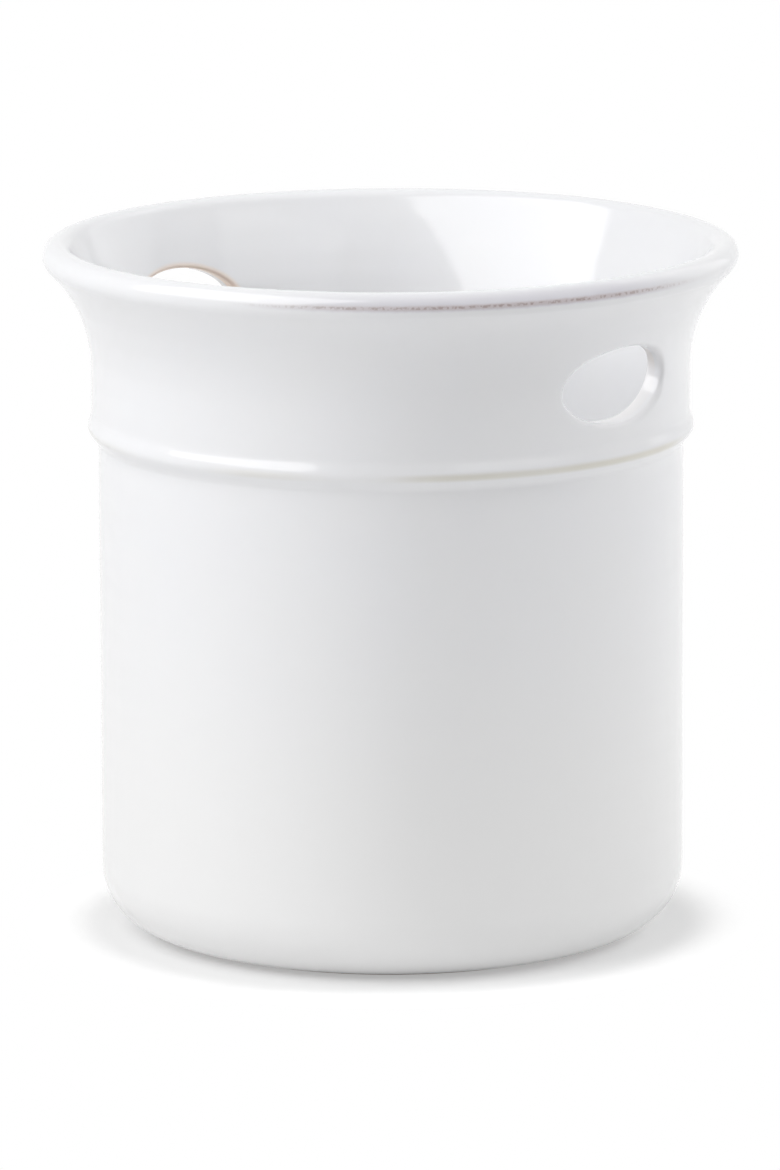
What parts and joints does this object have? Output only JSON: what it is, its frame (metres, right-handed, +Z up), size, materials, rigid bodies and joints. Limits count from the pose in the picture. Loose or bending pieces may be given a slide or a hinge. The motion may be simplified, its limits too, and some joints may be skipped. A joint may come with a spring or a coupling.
{
  "type": "utensil crock",
  "caption": "Round white glazed stoneware crock with a rounded heel, a beaded collar, a flared rim and oval finger openings, for standing kitchen utensils in.",
  "frame": {"origin": "centre of the foot ring, on the surface that the crock stands on", "axes": "+Z up the crock's own axis, +X and -X out through the two finger openings"},
  "size_m": [0.178, 0.178, 0.179],
  "materials": {
    "stoneware": "bare fired clay, matt",
    "white_glaze": "gloss"
  },
  "bodies": {
    "root": {"floor_slab": "stoneware", "body_wall": "stoneware", "collar_bead": "stoneware", "flared_collar": "stoneware", "outer_glaze": "white_glaze", "liner_glaze": "white_glaze"}
  },
  "joints": []
}
